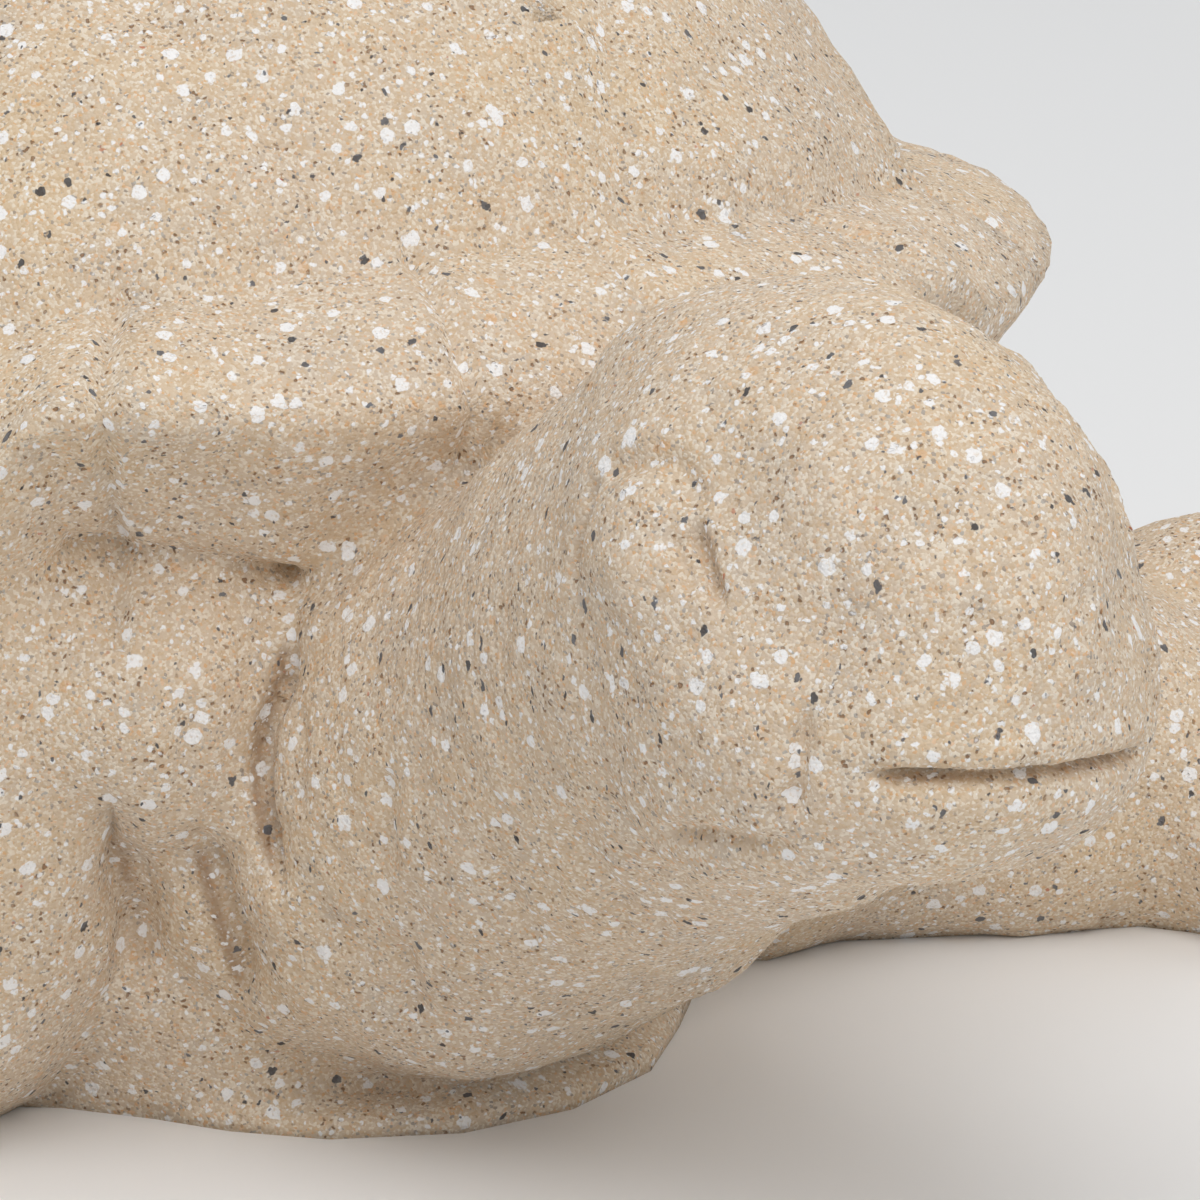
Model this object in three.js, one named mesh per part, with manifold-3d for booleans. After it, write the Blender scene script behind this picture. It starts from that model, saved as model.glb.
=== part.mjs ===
// A garden turtle cast in one piece from bonded sand, in millimetres, +Z up.
// It faces -Y, its left side is +X, and it rests on the flat underside of its body and feet.
// Each mass is a closed surface worked out from the sizes below; the masses are joined into one
// solid, cut flat at the ground and centred over the origin.
import * as THREE from "three";
import { ParametricGeometry } from "three/addons/geometries/ParametricGeometry.js";
import { mergeVertices } from "three/addons/utils/BufferGeometryUtils.js";
import Module from "manifold-3d";

const wasm = await Module();
wasm.setup();

const sandColour = 0xc9b08c;
const weldDistance = 0.001;

// Carapace: a domed cap with a flared rim. Angles run from the front round to the left.
const shell = {
  halfWidth: 115,
  halfLength: 104,
  squareness: 2.1,
  topHeight: 160,
  topSetBack: 4,
  footSlope: THREE.MathUtils.degToRad(64),
  rimWidth: 18,
  footHeightFront: 110,
  footHeightSide: 98,
  footArchAngle: THREE.MathUtils.degToRad(55),
  edgeHeightFront: 96.5,
  archLift: 3.5,
  edgeHeightSide: 92,
  edgeHeightBack: 89,
  archHalfAngle: THREE.MathUtils.degToRad(35),
  archStep: THREE.MathUtils.degToRad(5),
  rimStraightness: 0.45,
  rimRollPower: 2.6,
  edgeThickness: 17,
  edgeSlant: 7,
  edgeRounding: 2,
  innerInset: 24,
  domeRows: 8,
  rimRows: 4,
  around: 68,
};

// Trunk and plastron, which carry the weight.
const trunk = {
  centre: [0, 6, 48],
  half: [80, 84, 60],
  around: 36,
  rows: 18,
};
const plastron = {
  lobeRadius: 41,
  lobeCentre: -45.5,
  lobeHalfAngle: THREE.MathUtils.degToRad(55),
  wingBend: [45, -53],
  halfWidth: 60,
  wingFront: -42,
  wingBack: 10,
  back: 84,
  thickness: 3.5,
  segments: 12,
};
// Rounded masses under the neck and over each front leg: centre and half sizes.
const chest = { centre: [0, -42, 24], half: [55, 39, 42], around: 30, rows: 16 };
const shoulder = { centre: [60, -40, 56], half: [34, 36, 60], around: 24, rows: 16 };

// Neck: rounded sections from the chest up to the head, with the rolls of skin round its base.
const neck = {
  stations: [
    { at: [0, -30, 42], half: [42, 42] },
    { at: [0, -70, 44], half: [38, 41] },
    { at: [0, -94, 53], half: [34, 37] },
    { at: [0, -118, 66], half: [31, 32] },
    { at: [0, -142, 79], half: [30.5, 30] },
    { at: [0, -158, 88], half: [29.5, 27] },
  ],
  squareness: 2.2,
  rollDepth: 2.4,
  rollLength: 13,
  rollsFrom: -102,
  rollsTo: -62,
  rollsFade: 8,
  around: 32,
  along: 24,
};
// How far a limb's domed end reaches past its last station, as a share of its half height.
const endReach = 0.7;

// Head: a blunt rounded block, tipped up. Its own axes are forward, left and up.
const head = {
  centre: [0, -160, 90],
  pitch: THREE.MathUtils.degToRad(15.5),
  front: 34,
  back: 30,
  side: 31,
  up: 32,
  down: 34,
  crownSetBack: 0.14,
  crownTaper: 0.07,
  planSquareness: 2.15,
  crownSquareness: 2,
  jawSquareness: 3.6,
  mouthDrop: THREE.MathUtils.degToRad(130),
  lipSpread: THREE.MathUtils.degToRad(1.6),
  lipRowSpread: THREE.MathUtils.degToRad(9),
  lipRowSpacing: 0.3,
  mouthHalfAngle: THREE.MathUtils.degToRad(64),
  mouthFade: THREE.MathUtils.degToRad(11),
  mouthDepth: 2.2,
  around: 48,
  rows: 32,
};
// Rounded swellings and hollows of one side of the head: place as forward, left, up.
const headForms = [
  { at: [7.5, 29.5, 7.5], spread: 5.5, height: 2 },
  { at: [9, 28, -11], spread: 10, height: 1.4 },
  { at: [2, 24, 20], spread: 5.5, height: -1.2 },
  { at: [18, 24, 10], spread: 5, height: -1.6 },
  { at: [25, 19, -5], spread: 5, height: -1.3 },
];

// Legs, given for the left side and mirrored for the right.
const frontLeg = {
  stations: [
    { at: [40, -24, 40], half: [30, 44] },
    { at: [72, -36, 31], half: [28, 35] },
    { at: [98, -47, 23], half: [25, 27] },
    { at: [118, -60, 17], half: [21, 21] },
    { at: [128, -80, 11], half: [17, 14] },
  ],
  squareness: 2.7,
  around: 22,
  along: 14,
};
const hindLeg = {
  stations: [
    { at: [38, 46, 40], half: [30, 42] },
    { at: [68, 64, 29], half: [25, 31] },
    { at: [91, 82, 18], half: [19, 20] },
    { at: [101, 100, 10], half: [16, 12] },
  ],
  squareness: 2.5,
  around: 20,
  along: 12,
};
const tail = {
  stations: [
    { at: [0, 70, 34], half: [20, 20] },
    { at: [0, 96, 22], half: [13, 14] },
    { at: [0, 114, 11], half: [7, 8] },
  ],
  squareness: 2.1,
  around: 14,
  along: 9,
};

const ground = { width: 600, depth: 60 };

// Rises smoothly from 0 at "from" to 1 at "to".
function ramp(from, to, value) {
  return THREE.MathUtils.smoothstep((value - from) / (to - from), 0, 1);
}

// Distance from the centre to a superellipse with the given half sizes, towards an angle whose
// cosine and sine are given.
function ovalRadius(cosine, sine, halfX, halfY, power) {
  const sum = Math.abs(cosine / halfX) ** power + Math.abs(sine / halfY) ** power;
  return sum ** (-1 / power);
}

// Cosine or sine flattened so that a circle becomes a superellipse.
function squared(value, power) {
  return Math.sign(value) * Math.abs(value) ** (2 / power);
}

// A surface of two parameters, closed at its seam and its poles, as a solid facing out.
function solidOf(geometry) {
  geometry.deleteAttribute("normal");
  geometry.deleteAttribute("uv");
  const merged = mergeVertices(geometry, weldDistance);
  const vertProperties = merged.attributes.position.array;
  const corners = Array.from(merged.index.array);
  const kept = [];
  for (let i = 0; i < corners.length; i += 3) {
    const [a, b, c] = corners.slice(i, i + 3);
    if (a !== b && b !== c && c !== a) kept.push(a, b, c);
  }
  const point = (index) => new THREE.Vector3().fromArray(vertProperties, 3 * index);
  let volume = 0;
  for (let i = 0; i < kept.length; i += 3) {
    const cross = point(kept[i + 1]).cross(point(kept[i + 2]));
    volume += point(kept[i]).dot(cross);
  }
  if (volume < 0) kept.reverse();
  const triVerts = new Uint32Array(kept);
  return new wasm.Manifold(new wasm.Mesh({ numProp: 3, vertProperties, triVerts }));
}

// Share of the front arch at an angle: 1 over the neck, 0 past the first marginal plates.
function archAt(angle) {
  return 1 - ramp(shell.archHalfAngle, shell.archHalfAngle + shell.archStep, Math.abs(angle));
}

// The shell's profile at an angle, as distance from the axis and height, from the crown down over
// the dome and the rim, under the edge and back to the axis.
function shellProfile(angle) {
  const forward = (1 + Math.cos(angle)) / 2;
  const edge = ovalRadius(
    Math.sin(angle),
    Math.cos(angle),
    shell.halfWidth,
    shell.halfLength,
    shell.squareness,
  );
  const foot = edge - shell.rimWidth;
  const rise = Math.exp(-((angle / shell.footArchAngle) ** 2));
  const footHeight = THREE.MathUtils.lerp(shell.footHeightSide, shell.footHeightFront, rise);
  const lowEdge = THREE.MathUtils.lerp(shell.edgeHeightBack, shell.edgeHeightSide, forward);
  const archEdge = shell.edgeHeightFront + shell.archLift * (angle / shell.archHalfAngle) ** 2;
  const edgeHeight = THREE.MathUtils.lerp(lowEdge, archEdge, archAt(angle));
  const profile = [];
  for (let row = 0; row <= shell.domeRows; row += 1) {
    const slope = (shell.footSlope * row) / shell.domeRows;
    const out = Math.sin(slope) / Math.sin(shell.footSlope);
    const fall = (1 - Math.cos(slope)) / (1 - Math.cos(shell.footSlope));
    profile.push([foot * out, THREE.MathUtils.lerp(shell.topHeight, footHeight, fall)]);
  }
  for (let row = 1; row <= shell.rimRows; row += 1) {
    const share = row / shell.rimRows;
    const rolled = share ** shell.rimRollPower;
    const fall = THREE.MathUtils.lerp(rolled, share, shell.rimStraightness);
    const height = THREE.MathUtils.lerp(footHeight, edgeHeight, fall);
    profile.push([foot + shell.rimWidth * share, height]);
  }
  const underside = edgeHeight - shell.edgeThickness;
  profile.push([edge - shell.edgeRounding / 2, edgeHeight - 2 * shell.edgeRounding]);
  profile.push([edge - shell.edgeSlant, underside + shell.edgeRounding]);
  profile.push([edge - shell.innerInset, underside]);
  profile.push([0, underside]);
  return profile;
}

function shellSolid() {
  const stacks = shellProfile(0).length - 1;
  const surface = (u, v, target) => {
    const angle = (2 * u - 1) * Math.PI;
    const [out, height] = shellProfile(angle)[Math.round(v * stacks)];
    const setBack = (shell.topSetBack * (shell.topHeight - height)) / shell.topHeight;
    const isAxis = out === 0;
    const x = isAxis ? 0 : out * Math.sin(angle);
    const y = isAxis ? 0 : -out * Math.cos(angle);
    target.set(x, y + shell.topSetBack - setBack, height);
  };
  return solidOf(new ParametricGeometry(surface, shell.around, stacks));
}

// A rounded mass: an ellipsoid on its centre, on the left side or mirrored on the right.
function massSolid(mass, side) {
  const [x, y, z] = mass.centre;
  const geometry = new THREE.SphereGeometry(1, mass.around, mass.rows);
  geometry.rotateX(Math.PI / 2);
  geometry.scale(...mass.half);
  geometry.translate(side * x, y, z);
  return solidOf(geometry);
}

// The plastron is a thin plate with a round lobe at its front, on the ground.
function plastronSolid() {
  const outline = new THREE.Shape();
  const { lobeRadius, lobeCentre, lobeHalfAngle, halfWidth, wingFront, wingBack, back } = plastron;
  const [bendX, bendY] = plastron.wingBend;
  const front = -Math.PI / 2;
  const lobeX = lobeRadius * Math.sin(lobeHalfAngle);
  const lobeY = lobeCentre - lobeRadius * Math.cos(lobeHalfAngle);
  outline.absarc(0, lobeCentre, lobeRadius, front - lobeHalfAngle, front + lobeHalfAngle, false);
  outline.quadraticCurveTo(bendX, bendY, halfWidth, wingFront);
  outline.lineTo(halfWidth, wingBack);
  outline.bezierCurveTo(halfWidth, back - wingBack, lobeRadius, back, 0, back);
  outline.bezierCurveTo(-lobeRadius, back, -halfWidth, back - wingBack, -halfWidth, wingBack);
  outline.lineTo(-halfWidth, wingFront);
  outline.quadraticCurveTo(-bendX, bendY, -lobeX, lobeY);
  const plate = new THREE.ExtrudeGeometry(outline, {
    depth: plastron.thickness,
    bevelEnabled: false,
    curveSegments: plastron.segments,
  });
  return solidOf(plate);
}

// Rounded sections carried along a smooth path through the stations, closed by domed ends.
// "swell" gives what is added to both half sizes at a distance along the path.
function sweptSolid(limb, side, swell = () => 0) {
  const centres = limb.stations.map(({ at: [x, y, z] }) => new THREE.Vector3(side * x, y, z));
  const halves = limb.stations.map(({ half: [w, h] }) => new THREE.Vector3(w, h, 0));
  const path = new THREE.CatmullRomCurve3(centres, false, "centripetal");
  const sizes = new THREE.CatmullRomCurve3(halves, false, "centripetal");
  const up = new THREE.Vector3(0, 0, 1);
  const surface = (u, v, target) => {
    const row = Math.round(v * limb.along);
    const share = THREE.MathUtils.clamp((row - 2) / (limb.along - 4), 0, 1);
    const capStep = Math.min(row, limb.along - row, 2) / 2;
    const closing = Math.sin((capStep * Math.PI) / 2);
    const reach = Math.cos((capStep * Math.PI) / 2) * (row < limb.along / 2 ? -1 : 1);
    const centre = path.getPoint(share);
    const ahead = path.getTangent(share);
    const half = sizes.getPoint(share);
    const across = new THREE.Vector3().crossVectors(ahead, up).normalize();
    const normal = new THREE.Vector3().crossVectors(across, ahead);
    const turn = 2 * Math.PI * u;
    const extra = swell(centre);
    const offCentre = (half.x + extra) * closing * squared(Math.cos(turn), limb.squareness);
    const offAxis = (half.y + extra) * closing * squared(Math.sin(turn), limb.squareness);
    target.copy(centre);
    target.addScaledVector(ahead, reach * half.y * endReach);
    target.addScaledVector(across, offCentre);
    target.addScaledVector(normal, offAxis);
  };
  return solidOf(new ParametricGeometry(surface, limb.around, limb.along));
}

// Rolls of skin round the neck's base: rounded ridges between narrower folds.
function neckSwell(centre) {
  const start = ramp(neck.rollsFrom - neck.rollsFade, neck.rollsFrom, centre.y);
  const stop = 1 - ramp(neck.rollsTo, neck.rollsTo + neck.rollsFade, centre.y);
  const phase = ((centre.y - neck.rollsFrom) * Math.PI) / neck.rollLength;
  return neck.rollDepth * start * stop * (Math.abs(Math.sin(phase)) - 1 / 2);
}

// The polar angle of a row of the head: evenly spaced, but drawn together along the lips.
function headPolar(share) {
  const even = Math.PI * share;
  const lips = head.mouthDrop;
  const pull = Math.exp(-(((even - lips) / head.lipRowSpread) ** 2));
  return THREE.MathUtils.lerp(even, lips + (even - lips) * head.lipRowSpacing, pull);
}

// How much the swellings and hollows push the head's surface out at a place.
function headForm(forward, left, upward) {
  let height = 0;
  for (const form of headForms) {
    const [f, l, w] = form.at;
    const squareDistance = (forward - f) ** 2 + (Math.abs(left) - l) ** 2 + (upward - w) ** 2;
    height += form.height * Math.exp(-squareDistance / form.spread ** 2);
  }
  return height;
}

// The mouth is a groove round the front of the head, just above the jaw's edge.
function mouthGroove(turn, polar) {
  const wide = 1 - ramp(head.mouthHalfAngle - head.mouthFade, head.mouthHalfAngle, Math.abs(turn));
  const narrow = Math.exp(-(((polar - head.mouthDrop) / head.lipSpread) ** 2));
  return head.mouthDepth * wide * narrow;
}

function headSolid() {
  const ahead = new THREE.Vector3(0, -Math.cos(head.pitch), Math.sin(head.pitch));
  const upward = new THREE.Vector3(0, Math.sin(head.pitch), Math.cos(head.pitch));
  const left = new THREE.Vector3(1, 0, 0);
  const surface = (u, v, target) => {
    const turn = (2 * u - 1) * Math.PI;
    const isPole = v === 0 || v === 1;
    const polar = isPole ? v * Math.PI : headPolar(v);
    const length = Math.cos(turn) > 0 ? head.front : head.back;
    const level = ovalRadius(
      Math.cos(turn),
      Math.sin(turn),
      length,
      head.side,
      head.planSquareness,
    );
    const isCrown = Math.cos(polar) > 0;
    const tall = isCrown ? head.up : head.down;
    const power = isCrown ? head.crownSquareness : head.jawSquareness;
    let reach = ovalRadius(Math.sin(polar), Math.cos(polar), level, tall, power);
    const flat = isPole ? 0 : Math.sin(polar);
    const f = reach * flat * Math.cos(turn);
    const l = reach * flat * Math.sin(turn);
    const w = reach * Math.cos(polar);
    reach += isPole ? 0 : headForm(f, l, w) - mouthGroove(turn, polar);
    const height = reach * Math.cos(polar);
    const above = Math.max(height, 0);
    const taper = 1 - (head.crownTaper * above) / head.up;
    target.fromArray(head.centre);
    target.addScaledVector(ahead, reach * flat * Math.cos(turn) - head.crownSetBack * above);
    target.addScaledVector(left, reach * flat * Math.sin(turn) * taper);
    target.addScaledVector(upward, height);
  };
  return solidOf(new ParametricGeometry(surface, head.around, head.rows));
}

function groundSolid() {
  const block = new THREE.BoxGeometry(ground.width, ground.width, ground.depth);
  block.translate(0, 0, -ground.depth / 2);
  return solidOf(block);
}

function turtleSolid() {
  let turtle = shellSolid();
  turtle = turtle.add(massSolid(trunk, 1));
  turtle = turtle.add(massSolid(chest, 1));
  turtle = turtle.add(plastronSolid());
  turtle = turtle.add(sweptSolid(neck, 1, neckSwell));
  turtle = turtle.add(headSolid());
  turtle = turtle.add(sweptSolid(tail, 1));
  for (const side of [1, -1]) {
    turtle = turtle.add(massSolid(shoulder, side));
    turtle = turtle.add(sweptSolid(frontLeg, side));
    turtle = turtle.add(sweptSolid(hindLeg, side));
  }
  return turtle.subtract(groundSolid());
}

// The joined solid as one mesh, its box centred over the origin with its underside at height 0.
function castPiece(solid, name, material) {
  const made = solid.getMesh();
  const geometry = new THREE.BufferGeometry();
  const positions = new THREE.BufferAttribute(new Float32Array(made.vertProperties), 3);
  geometry.setAttribute("position", positions);
  geometry.setIndex(Array.from(made.triVerts));
  geometry.computeBoundingBox();
  const { min, max } = geometry.boundingBox;
  geometry.translate(-(min.x + max.x) / 2, -(min.y + max.y) / 2, -min.z);
  const mesh = new THREE.Mesh(geometry, material);
  mesh.name = name;
  return mesh;
}

const sandstone = new THREE.MeshStandardMaterial({
  color: sandColour,
  roughness: 0.92,
  metalness: 0,
});

const group = new THREE.Group();
group.add(castPiece(turtleSolid(), "turtle", sandstone));

export default group;
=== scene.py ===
import math

import bpy
import numpy as np
from mathutils import Matrix, Vector


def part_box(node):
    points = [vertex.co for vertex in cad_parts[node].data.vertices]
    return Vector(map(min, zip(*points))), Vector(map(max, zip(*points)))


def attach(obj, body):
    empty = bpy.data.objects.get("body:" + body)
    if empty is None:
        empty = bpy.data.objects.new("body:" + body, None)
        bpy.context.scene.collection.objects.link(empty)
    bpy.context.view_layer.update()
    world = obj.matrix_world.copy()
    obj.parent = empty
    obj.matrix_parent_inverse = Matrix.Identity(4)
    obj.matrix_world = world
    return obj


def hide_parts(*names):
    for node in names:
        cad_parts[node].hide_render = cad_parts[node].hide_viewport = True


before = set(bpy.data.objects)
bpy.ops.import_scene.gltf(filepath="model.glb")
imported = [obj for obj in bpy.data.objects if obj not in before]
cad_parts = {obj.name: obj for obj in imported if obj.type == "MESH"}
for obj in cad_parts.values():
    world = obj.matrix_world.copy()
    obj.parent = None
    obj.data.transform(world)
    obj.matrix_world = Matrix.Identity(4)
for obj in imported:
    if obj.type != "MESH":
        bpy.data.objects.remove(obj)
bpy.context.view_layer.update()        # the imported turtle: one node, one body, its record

millimetre = 0.001

# Sizes are in millimetres. The turtle faces -Y, its left side is +X, and it stands on height 0.
# Angles round the shell run from its front towards its left side.

cast = {
    "voxel": 0.66,           # first mesh of the joined masses
    "triangles": 196000,     # after thinning
    "settle": 6,             # rounds of smoothing all over
    "blend": 70,             # further rounds where masses meet
    "step": 0.5,             # how far a full round moves a point towards its neighbours' mean
    "lumps": [(30, 0.4), (10, 0.14), (3.2, 0.07)],    # unevenness: wavelength and height
    "waves": 20, "waveSpread": (0.7, 1.5),
    "grainRise": 0.045,      # roughness that shows on the outline
    "soleHeight": 0.05,      # points lower than this stay flat on the ground
    "seed": 11,
}
# The head and neck, which stay as fine as the first mesh: from their front back, out and up.
fine = {"ahead": -60, "out": 46, "above": 12, "below": 82, "headAhead": -112}

shell = {
    "halfWidth": 115.2, "halfLength": 104, "squareness": 2.1,
    "topHeight": 160, "topSetBack": 4,
    "footSlope": math.radians(63), "footHeightFront": 110, "footHeightSide": 98,
    "footArch": math.radians(55),
    "rimWidth": 19.5, "rimStraightness": 0.45, "rimRollPower": 2.6,
    "edgeHeightFront": 96.5, "archLift": 3.5, "edgeHeightSide": 92, "edgeHeightBack": 89,
    "archHalfAngle": math.radians(35), "archStep": math.radians(5),
    "edgeThickness": 17, "frontThickness": 24, "edgeSlant": 13, "edgeRounding": 1.2,
    "innerInset": 26, "crisp": 0.75, "edgeHeights": (66, 106), "edgeRun": (9, 5),
    "domeRows": 90, "rimRows": 26, "around": 420,
}

trunk = {"centre": (0, 6, 48), "half": (80, 84, 60)}
chest = {"centre": (0, -42, 24), "half": (55, 39, 42)}
shoulder = {"centre": (60, -40, 56), "half": (34, 36, 60)}
collar = {"centre": (38, -60, 59), "half": (28, 28, 24)}
massRows = 70
massAround = 120
soleVoxels = 0.6             # points within this many voxels of the ground lie on it
poleGap = 0.02               # angle left open at the ends of a mass, closed by a fan

plastron = {
    "lobeRadius": 41, "lobeCentre": -45.5, "lobeHalfAngle": math.radians(55),
    "wingBend": (45, -53), "halfWidth": 60, "wingFront": -42,
    "wingBack": 10, "back": 84, "thickness": 3.5, "rounding": 0.8, "topInset": 0.985,
    "steps": 24,
}

# Limbs: each station is its centre, then its half width and half height.
neck = {
    "stations": [
        (0, -30, 46, 46, 44), (0, -70, 45, 44, 42), (0, -94, 52.5, 36, 35),
        (0, -118, 66, 31.5, 31.5), (0, -142, 80, 31.5, 33), (0, -158, 88, 30, 27),
    ],
    "squareness": 2.05, "rollDepth": 0.7, "rollLength": 13, "rollsFrom": -102,
    "rollsTo": -62, "rollsFade": 8, "around": 150, "along": 130,
}
frontLeg = {
    "stations": [
        (40, -24, 40, 30, 44), (72, -36, 31, 28, 35), (98, -47, 23, 25, 27),
        (118, -60, 17, 21, 21), (128, -80, 11, 17, 14),
    ],
    "squareness": 2.7, "around": 110, "along": 110,
}
upperArm = {
    "stations": [(84, -26, 38, 22, 26), (112, -36, 25, 19, 19.5), (131, -44, 23, 17, 23.5)],
    "squareness": 2.3, "around": 90, "along": 60,
}
hindLeg = {
    "stations": [
        (38, 46, 40, 30, 42), (68, 64, 29, 25, 31), (91, 82, 18, 19, 20), (101, 100, 10, 16, 12),
    ],
    "squareness": 2.5, "around": 100, "along": 90,
}
tail = {
    "stations": [(0, 70, 34, 20, 20), (0, 96, 22, 13, 14), (0, 114, 11, 7, 8)],
    "squareness": 2.1, "around": 70, "along": 60,
}
endReach = 0.7               # how far a limb's domed end reaches, as a share of its half height
endRows = 10
endStart = 0.05              # the domed end's smallest ring
pathStep = 0.001             # share of a path over which its direction is measured

head = {
    "centre": (0, -160, 90), "pitch": math.radians(15.5),
    "front": 34, "back": 33, "side": 31, "up": 32, "down": 34,
    "crownSetBack": 0.16, "crownTaper": 0.07,
    "planSquareness": 1.9, "crownSquareness": 2, "jawSquareness": 3.6,
    "around": 220, "rows": 150, "poleGap": 0.01,
}
# Swellings and hollows of one side of the head: forward, left, up, spread, height.
headForms = [
    (2.5, 29.5, 5.5, 7, 2.7), (9, 28, -11, 11, 1.3), (-16, 28, 11, 10, 2.3),
    (0, 26, 17, 9, 1.2), (18, 24, 10, 6, -0.6), (25, 19, -5, 6, -0.6), (19, 25, 4, 13, -1.5),
    (-17, 12, 25, 16, 4.3), (23, 24, -3, 12, -1.0),
]


def ramp(low, high, value):
    # rises from 0 at low to 1 at high along 3t^2 - 2t^3
    t = np.clip((value - low) / (high - low), 0, 1)
    return t * t * (3 - 2 * t)


def direction(azimuth, elevation):
    # unit vector from the object towards a viewer; azimuth 0 stands before its face
    level = math.cos(elevation)
    return Vector((math.sin(azimuth) * level, -math.cos(azimuth) * level, math.sin(elevation)))


def ovalRadius(cosine, sine, halfX, halfY, power):
    # distance from the centre to a superellipse in the direction given
    return (np.abs(cosine / halfX) ** power + np.abs(sine / halfY) ** power) ** (-1 / power)


def squared(value, power):
    # cosine or sine flattened so that a circle becomes a superellipse
    return np.sign(value) * np.abs(value) ** (2 / power)


def smoothPath(stations, shares):
    # Catmull-Rom curve through the rows of stations, each stretch taking an equal part of 0..1
    rows = np.array(stations, float)
    rows = np.vstack([2 * rows[0] - rows[1], rows, 2 * rows[-1] - rows[-2]])
    place = np.clip(np.asarray(shares), 0, 1) * (len(rows) - 3)
    first = np.minimum(place.astype(int), len(rows) - 4)
    t = (place - first)[:, None]
    a, b, c, d = (rows[first + step] for step in range(4))
    return b + t / 2 * (c - a + t * (2 * a - 5 * b + 4 * c - d + t * (3 * (b - c) + d - a)))


def closedSkin(rings):
    # rings of points joined by quads, with a fan at each end: vertices and faces
    rows, around, _ = rings.shape
    ends = rings[[0, -1]].mean(axis=1)
    vertices = np.vstack([rings.reshape(-1, 3), ends])
    row, column = np.meshgrid(np.arange(rows - 1), np.arange(around), indexing="ij")
    ahead = (column + 1) % around
    quads = np.stack(
        [row * around + column, row * around + ahead,
         (row + 1) * around + ahead, (row + 1) * around + column], axis=-1,
    ).reshape(-1, 4)
    here = np.arange(around)
    beyond = (here + 1) % around
    firstFan = np.stack([beyond, here, np.full(around, rows * around)], axis=-1)
    base = (rows - 1) * around
    lastFan = np.stack([base + here, base + beyond, np.full(around, rows * around + 1)], axis=-1)
    return vertices, quads, np.vstack([firstFan, lastFan])


def shellRings():
    # profile of dome, rim, edge and underside, as distance from the axis and height, at each angle
    angle = np.linspace(-math.pi, math.pi, shell["around"], endpoint=False)
    forward = (1 + np.cos(angle)) / 2
    edge = ovalRadius(
        np.sin(angle), np.cos(angle), shell["halfWidth"], shell["halfLength"], shell["squareness"])
    foot = edge - shell["rimWidth"]
    rise = np.exp(-(angle / shell["footArch"]) ** 2)
    footHeight = shell["footHeightSide"] + rise * (shell["footHeightFront"] - shell["footHeightSide"])
    lowEdge = shell["edgeHeightBack"] + forward * (shell["edgeHeightSide"] - shell["edgeHeightBack"])
    archEdge = shell["edgeHeightFront"] + shell["archLift"] * (angle / shell["archHalfAngle"]) ** 2
    arch = 1 - ramp(shell["archHalfAngle"], shell["archHalfAngle"] + shell["archStep"], abs(angle))
    edgeHeight = lowEdge + arch * (archEdge - lowEdge)
    slope = shell["footSlope"] * np.linspace(0.01, 1, shell["domeRows"])[:, None]
    domeOut = foot * np.sin(slope) / math.sin(shell["footSlope"])
    domeFall = (1 - np.cos(slope)) / (1 - math.cos(shell["footSlope"]))
    domeHeight = shell["topHeight"] + domeFall * (footHeight - shell["topHeight"])
    share = np.linspace(0, 1, shell["rimRows"] + 1)[1:, None]
    rolled = share ** shell["rimRollPower"]
    rimFall = rolled + shell["rimStraightness"] * (share - rolled)
    rimOut = foot + shell["rimWidth"] * share
    rimHeight = footHeight + rimFall * (edgeHeight - footHeight)
    under = edgeHeight - shell["edgeThickness"]
    under -= rise ** 2 * (shell["frontThickness"] - shell["edgeThickness"])
    rounding = shell["edgeRounding"]
    edgeOut = np.stack([edge - rounding / 2, edge - shell["edgeSlant"], edge - shell["innerInset"],
                        edge * 0.01])
    edgeDown = np.stack([edgeHeight - 2 * rounding, under + rounding, under, under])
    out = np.vstack([domeOut, rimOut, edgeOut])
    height = np.vstack([domeHeight, rimHeight, edgeDown])
    back = shell["topSetBack"] * height / shell["topHeight"]
    return np.stack([out * np.sin(angle), back - out * np.cos(angle), height], axis=-1)


def massRings(mass, side):
    # an ellipsoid: half sizes times the sine and cosine of the angles down from its top and round
    polar = np.linspace(poleGap, math.pi - poleGap, massRows)[:, None]
    turn = np.linspace(0, 2 * math.pi, massAround, endpoint=False)
    unit = np.stack(
        [np.sin(polar) * np.cos(turn), np.sin(polar) * np.sin(turn), np.cos(polar) + 0 * turn],
        axis=-1)
    return unit * np.array(mass["half"]) + np.array(mass["centre"]) * (side, 1, 1)


def plastronRings():
    # the plate's outline, an arc at the front, then a curve, a straight and a curve to the back
    radius, middle = plastron["lobeRadius"], plastron["lobeCentre"]
    half, front, rear, back = (plastron[k] for k in ("halfWidth", "wingFront", "wingBack", "back"))
    t = np.linspace(0, 1, plastron["steps"], endpoint=False)[:, None]
    turn = t * plastron["lobeHalfAngle"]
    arc = np.hstack([radius * np.sin(turn), middle - radius * np.cos(turn)])
    lobeEnd = (radius * math.sin(plastron["lobeHalfAngle"]),
               middle - radius * math.cos(plastron["lobeHalfAngle"]))
    start, bend, stop = (np.array(p) for p in (lobeEnd, plastron["wingBend"], (half, front)))
    wing = (1 - t) ** 2 * start + 2 * t * (1 - t) * bend + t ** 2 * stop
    low, mid, high, end = (
        np.array(p) for p in ((half, rear), (half, back - rear), (radius, back), (0, back)))
    tailward = ((1 - t) ** 3 * low + 3 * t * (1 - t) ** 2 * mid + 3 * t ** 2 * (1 - t) * high
                + t ** 3 * end)
    right = np.vstack([arc, wing, tailward])
    left = (right * (-1, 1))[:0:-1]
    outline = np.vstack([right, [end], left])
    levels = [0.0, plastron["thickness"] - plastron["rounding"], plastron["thickness"]]
    insets = [1.0, 1.0, plastron["topInset"]]
    return np.stack([
        np.column_stack([outline * inset, np.full(len(outline), level)])
        for level, inset in zip(levels, insets)])


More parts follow.
